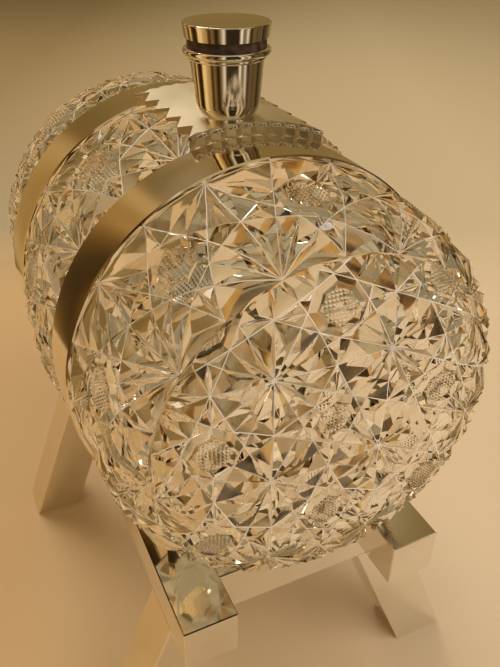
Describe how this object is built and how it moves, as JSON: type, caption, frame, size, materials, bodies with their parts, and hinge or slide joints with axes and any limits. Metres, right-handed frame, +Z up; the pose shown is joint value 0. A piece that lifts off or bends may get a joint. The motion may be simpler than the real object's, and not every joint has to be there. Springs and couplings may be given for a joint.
{
  "type": "decanter with tap",
  "caption": "Cut-glass spirit barrel lying on a splay-legged polished stand, with silver hoops, a beaded neck with cork stopper, and a turning plug tap at one end.",
  "frame": {"origin": "middle of the footprint box at floor level, halfway between the glass's bare end and the spout's outer side", "axes": "+Z up, +Y along the barrel from the bare cut-glass end towards the tap, +X to the right seen from the bare end"},
  "size_m": [0.166, 0.2583, 0.2724],
  "materials": {
    "cut_glass": "clear lead crystal, deeply cut and polished",
    "polished_silver": "mirror-polished silver plate",
    "silvered_brass": "turned brass, lightly silvered",
    "dark_cork": "dark stained cork"
  },
  "bodies": {
    "stand": {"rail_left": "polished_silver", "rail_right": "polished_silver", "beam_front": "polished_silver", "beam_rear": "polished_silver", "leg_front_left": "polished_silver", "leg_front_right": "polished_silver", "leg_rear_left": "polished_silver", "leg_rear_right": "polished_silver", "chock_front_left": "polished_silver", "chock_front_right": "polished_silver", "chock_rear_left": "polished_silver", "chock_rear_right": "polished_silver"},
    "barrel": {"glass_barrel": "cut_glass", "glass_neck": "cut_glass", "hoop_front": "polished_silver", "hoop_rear": "polished_silver", "saddle_plate": "polished_silver", "neck_ferrule": "polished_silver", "neck_collar": "polished_silver", "tap_rose": "polished_silver", "tap_bush": "dark_cork", "tap_body": "polished_silver", "tap_spout": "polished_silver"},
    "stopper": {"stopper_cap": "polished_silver", "stopper_cork": "dark_cork", "stopper_stud": "silvered_brass", "stopper_washer": "silvered_brass"},
    "tap_handle": {"tap_plug": "silvered_brass", "tap_key": "polished_silver", "tap_washer": "silvered_brass", "tap_screw": "silvered_brass"}
  },
  "joints": [
    {"name": "barrel_lift", "type": "slide", "parent": "stand", "child": "barrel", "axis": [0, 0, 1], "range_m": [0, 0.08]},
    {"name": "stopper_lift", "type": "slide", "parent": "barrel", "child": "stopper", "axis": [0, 0, 1], "range_m": [0, 0.04]},
    {"name": "tap_turn", "type": "hinge", "parent": "barrel", "child": "tap_handle", "pos_m": [0, 0.0966, 0.133], "axis": [0, 0, 1], "range_deg": [0, 90]}
  ]
}
